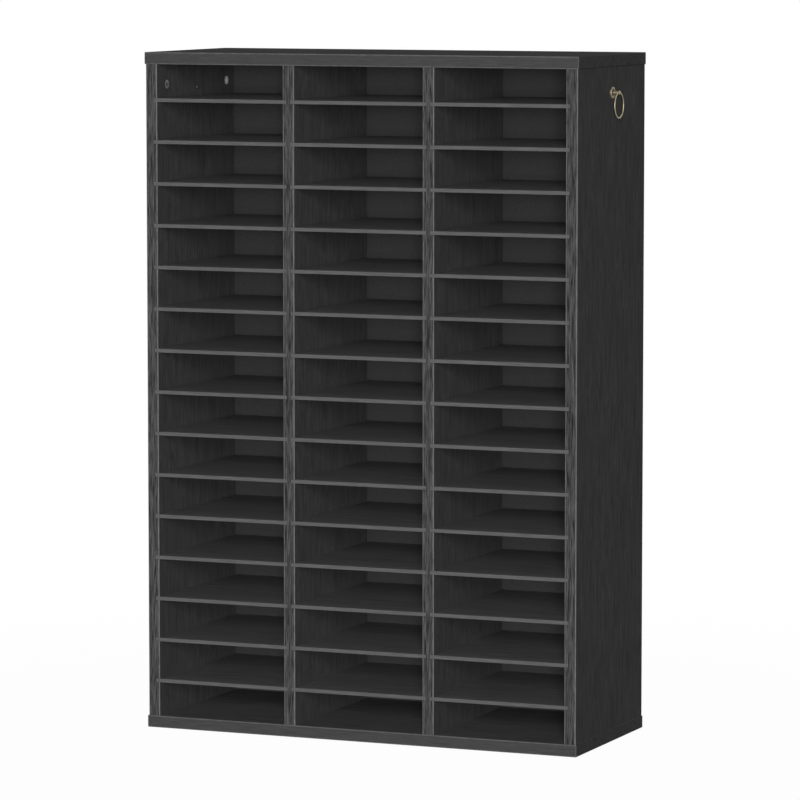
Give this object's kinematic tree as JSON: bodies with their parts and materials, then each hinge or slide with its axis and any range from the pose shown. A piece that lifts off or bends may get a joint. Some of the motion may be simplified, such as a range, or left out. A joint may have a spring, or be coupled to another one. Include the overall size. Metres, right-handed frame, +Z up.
{
  "type": "pigeonhole mail sorter",
  "caption": "Free-standing black wood-grain mail sorter with columns of open pigeonholes, slide-out shelves and brass ring pulls on its sides.",
  "frame": {"origin": "middle of the footprint, on the floor", "axes": "+Z up, -Y towards the open front, +X to the right as seen from the front"},
  "size_m": [0.7968, 0.3158, 1.132],
  "materials": {
    "laminate": "satin",
    "shelf_board": "satin",
    "hardboard": "matte",
    "beech": "matte",
    "zinc": "satin",
    "steel": "satin",
    "black_steel": "satin",
    "antique_brass": "satin"
  },
  "bodies": {
    "carcass": {"top_panel": "laminate", "bottom_panel": "laminate", "left_side_panel": "laminate", "right_side_panel": "laminate", "left_divider": "laminate", "right_divider": "laminate", "back_panel": "hardboard", "cam_locks": "zinc", "cam_bolts": "steel", "dowels": "beech", "base_screws": "steel", "pull_posts": "antique_brass", "pull_screws": "black_steel"},
    "left_ring_body": {"left_ring": "antique_brass"},
    "right_ring_body": {"right_ring": "antique_brass"},
    "left_shelf_01": {"shelf_left_01": "shelf_board"},
    "left_shelf_02": {"shelf_left_02": "shelf_board"},
    "left_shelf_03": {"shelf_left_03": "shelf_board"},
    "left_shelf_04": {"shelf_left_04": "shelf_board"},
    "left_shelf_05": {"shelf_left_05": "shelf_board"},
    "left_shelf_06": {"shelf_left_06": "shelf_board"},
    "left_shelf_07": {"shelf_left_07": "shelf_board"},
    "left_shelf_08": {"shelf_left_08": "shelf_board"},
    "left_shelf_09": {"shelf_left_09": "shelf_board"},
    "left_shelf_10": {"shelf_left_10": "shelf_board"},
    "left_shelf_11": {"shelf_left_11": "shelf_board"},
    "left_shelf_12": {"shelf_left_12": "shelf_board"},
    "left_shelf_13": {"shelf_left_13": "shelf_board"},
    "left_shelf_14": {"shelf_left_14": "shelf_board"},
    "left_shelf_15": {"shelf_left_15": "shelf_board"},
    "middle_shelf_01": {"shelf_middle_01": "shelf_board"},
    "middle_shelf_02": {"shelf_middle_02": "shelf_board"},
    "middle_shelf_03": {"shelf_middle_03": "shelf_board"},
    "middle_shelf_04": {"shelf_middle_04": "shelf_board"},
    "middle_shelf_05": {"shelf_middle_05": "shelf_board"},
    "middle_shelf_06": {"shelf_middle_06": "shelf_board"},
    "middle_shelf_07": {"shelf_middle_07": "shelf_board"},
    "middle_shelf_08": {"shelf_middle_08": "shelf_board"},
    "middle_shelf_09": {"shelf_middle_09": "shelf_board"},
    "middle_shelf_10": {"shelf_middle_10": "shelf_board"},
    "middle_shelf_11": {"shelf_middle_11": "shelf_board"},
    "middle_shelf_12": {"shelf_middle_12": "shelf_board"},
    "middle_shelf_13": {"shelf_middle_13": "shelf_board"},
    "middle_shelf_14": {"shelf_middle_14": "shelf_board"},
    "middle_shelf_15": {"shelf_middle_15": "shelf_board"},
    "right_shelf_01": {"shelf_right_01": "shelf_board"},
    "right_shelf_02": {"shelf_right_02": "shelf_board"},
    "right_shelf_03": {"shelf_right_03": "shelf_board"},
    "right_shelf_04": {"shelf_right_04": "shelf_board"},
    "right_shelf_05": {"shelf_right_05": "shelf_board"},
    "right_shelf_06": {"shelf_right_06": "shelf_board"},
    "right_shelf_07": {"shelf_right_07": "shelf_board"},
    "right_shelf_08": {"shelf_right_08": "shelf_board"},
    "right_shelf_09": {"shelf_right_09": "shelf_board"},
    "right_shelf_10": {"shelf_right_10": "shelf_board"},
    "right_shelf_11": {"shelf_right_11": "shelf_board"},
    "right_shelf_12": {"shelf_right_12": "shelf_board"},
    "right_shelf_13": {"shelf_right_13": "shelf_board"},
    "right_shelf_14": {"shelf_right_14": "shelf_board"},
    "right_shelf_15": {"shelf_right_15": "shelf_board"}
  },
  "joints": [
    {"name": "left_ring_swing", "type": "hinge", "parent": "carcass", "child": "left_ring_body", "pos_m": [-0.39525, 0.00088, 1.07], "axis": [0, 1, 0], "range_deg": [-14, 190]},
    {"name": "right_ring_swing", "type": "hinge", "parent": "carcass", "child": "right_ring_body", "pos_m": [0.39525, 0.00088, 1.07], "axis": [0, -1, 0], "range_deg": [-14, 190]},
    {"name": "slide_left_01", "type": "slide", "parent": "carcass", "child": "left_shelf_01", "axis": [0, -1, 0], "range_m": [0, 0.29]},
    {"name": "slide_left_02", "type": "slide", "parent": "carcass", "child": "left_shelf_02", "axis": [0, -1, 0], "range_m": [0, 0.29]},
    {"name": "slide_left_03", "type": "slide", "parent": "carcass", "child": "left_shelf_03", "axis": [0, -1, 0], "range_m": [0, 0.29]},
    {"name": "slide_left_04", "type": "slide", "parent": "carcass", "child": "left_shelf_04", "axis": [0, -1, 0], "range_m": [0, 0.29]},
    {"name": "slide_left_05", "type": "slide", "parent": "carcass", "child": "left_shelf_05", "axis": [0, -1, 0], "range_m": [0, 0.29]},
    {"name": "slide_left_06", "type": "slide", "parent": "carcass", "child": "left_shelf_06", "axis": [0, -1, 0], "range_m": [0, 0.29]},
    {"name": "slide_left_07", "type": "slide", "parent": "carcass", "child": "left_shelf_07", "axis": [0, -1, 0], "range_m": [0, 0.29]},
    {"name": "slide_left_08", "type": "slide", "parent": "carcass", "child": "left_shelf_08", "axis": [0, -1, 0], "range_m": [0, 0.29]},
    {"name": "slide_left_09", "type": "slide", "parent": "carcass", "child": "left_shelf_09", "axis": [0, -1, 0], "range_m": [0, 0.29]},
    {"name": "slide_left_10", "type": "slide", "parent": "carcass", "child": "left_shelf_10", "axis": [0, -1, 0], "range_m": [0, 0.29]},
    {"name": "slide_left_11", "type": "slide", "parent": "carcass", "child": "left_shelf_11", "axis": [0, -1, 0], "range_m": [0, 0.29]},
    {"name": "slide_left_12", "type": "slide", "parent": "carcass", "child": "left_shelf_12", "axis": [0, -1, 0], "range_m": [0, 0.29]},
    {"name": "slide_left_13", "type": "slide", "parent": "carcass", "child": "left_shelf_13", "axis": [0, -1, 0], "range_m": [0, 0.29]},
    {"name": "slide_left_14", "type": "slide", "parent": "carcass", "child": "left_shelf_14", "axis": [0, -1, 0], "range_m": [0, 0.29]},
    {"name": "slide_left_15", "type": "slide", "parent": "carcass", "child": "left_shelf_15", "axis": [0, -1, 0], "range_m": [0, 0.29]},
    {"name": "slide_middle_01", "type": "slide", "parent": "carcass", "child": "middle_shelf_01", "axis": [0, -1, 0], "range_m": [0, 0.29]},
    {"name": "slide_middle_02", "type": "slide", "parent": "carcass", "child": "middle_shelf_02", "axis": [0, -1, 0], "range_m": [0, 0.29]},
    {"name": "slide_middle_03", "type": "slide", "parent": "carcass", "child": "middle_shelf_03", "axis": [0, -1, 0], "range_m": [0, 0.29]},
    {"name": "slide_middle_04", "type": "slide", "parent": "carcass", "child": "middle_shelf_04", "axis": [0, -1, 0], "range_m": [0, 0.29]},
    {"name": "slide_middle_05", "type": "slide", "parent": "carcass", "child": "middle_shelf_05", "axis": [0, -1, 0], "range_m": [0, 0.29]},
    {"name": "slide_middle_06", "type": "slide", "parent": "carcass", "child": "middle_shelf_06", "axis": [0, -1, 0], "range_m": [0, 0.29]},
    {"name": "slide_middle_07", "type": "slide", "parent": "carcass", "child": "middle_shelf_07", "axis": [0, -1, 0], "range_m": [0, 0.29]},
    {"name": "slide_middle_08", "type": "slide", "parent": "carcass", "child": "middle_shelf_08", "axis": [0, -1, 0], "range_m": [0, 0.29]},
    {"name": "slide_middle_09", "type": "slide", "parent": "carcass", "child": "middle_shelf_09", "axis": [0, -1, 0], "range_m": [0, 0.29]},
    {"name": "slide_middle_10", "type": "slide", "parent": "carcass", "child": "middle_shelf_10", "axis": [0, -1, 0], "range_m": [0, 0.29]},
    {"name": "slide_middle_11", "type": "slide", "parent": "carcass", "child": "middle_shelf_11", "axis": [0, -1, 0], "range_m": [0, 0.29]},
    {"name": "slide_middle_12", "type": "slide", "parent": "carcass", "child": "middle_shelf_12", "axis": [0, -1, 0], "range_m": [0, 0.29]},
    {"name": "slide_middle_13", "type": "slide", "parent": "carcass", "child": "middle_shelf_13", "axis": [0, -1, 0], "range_m": [0, 0.29]},
    {"name": "slide_middle_14", "type": "slide", "parent": "carcass", "child": "middle_shelf_14", "axis": [0, -1, 0], "range_m": [0, 0.29]},
    {"name": "slide_middle_15", "type": "slide", "parent": "carcass", "child": "middle_shelf_15", "axis": [0, -1, 0], "range_m": [0, 0.29]},
    {"name": "slide_right_01", "type": "slide", "parent": "carcass", "child": "right_shelf_01", "axis": [0, -1, 0], "range_m": [0, 0.29]},
    {"name": "slide_right_02", "type": "slide", "parent": "carcass", "child": "right_shelf_02", "axis": [0, -1, 0], "range_m": [0, 0.29]},
    {"name": "slide_right_03", "type": "slide", "parent": "carcass", "child": "right_shelf_03", "axis": [0, -1, 0], "range_m": [0, 0.29]},
    {"name": "slide_right_04", "type": "slide", "parent": "carcass", "child": "right_shelf_04", "axis": [0, -1, 0], "range_m": [0, 0.29]},
    {"name": "slide_right_05", "type": "slide", "parent": "carcass", "child": "right_shelf_05", "axis": [0, -1, 0], "range_m": [0, 0.29]},
    {"name": "slide_right_06", "type": "slide", "parent": "carcass", "child": "right_shelf_06", "axis": [0, -1, 0], "range_m": [0, 0.29]},
    {"name": "slide_right_07", "type": "slide", "parent": "carcass", "child": "right_shelf_07", "axis": [0, -1, 0], "range_m": [0, 0.29]},
    {"name": "slide_right_08", "type": "slide", "parent": "carcass", "child": "right_shelf_08", "axis": [0, -1, 0], "range_m": [0, 0.29]},
    {"name": "slide_right_09", "type": "slide", "parent": "carcass", "child": "right_shelf_09", "axis": [0, -1, 0], "range_m": [0, 0.29]},
    {"name": "slide_right_10", "type": "slide", "parent": "carcass", "child": "right_shelf_10", "axis": [0, -1, 0], "range_m": [0, 0.29]},
    {"name": "slide_right_11", "type": "slide", "parent": "carcass", "child": "right_shelf_11", "axis": [0, -1, 0], "range_m": [0, 0.29]},
    {"name": "slide_right_12", "type": "slide", "parent": "carcass", "child": "right_shelf_12", "axis": [0, -1, 0], "range_m": [0, 0.29]},
    {"name": "slide_right_13", "type": "slide", "parent": "carcass", "child": "right_shelf_13", "axis": [0, -1, 0], "range_m": [0, 0.29]},
    {"name": "slide_right_14", "type": "slide", "parent": "carcass", "child": "right_shelf_14", "axis": [0, -1, 0], "range_m": [0, 0.29]},
    {"name": "slide_right_15", "type": "slide", "parent": "carcass", "child": "right_shelf_15", "axis": [0, -1, 0], "range_m": [0, 0.29]}
  ]
}
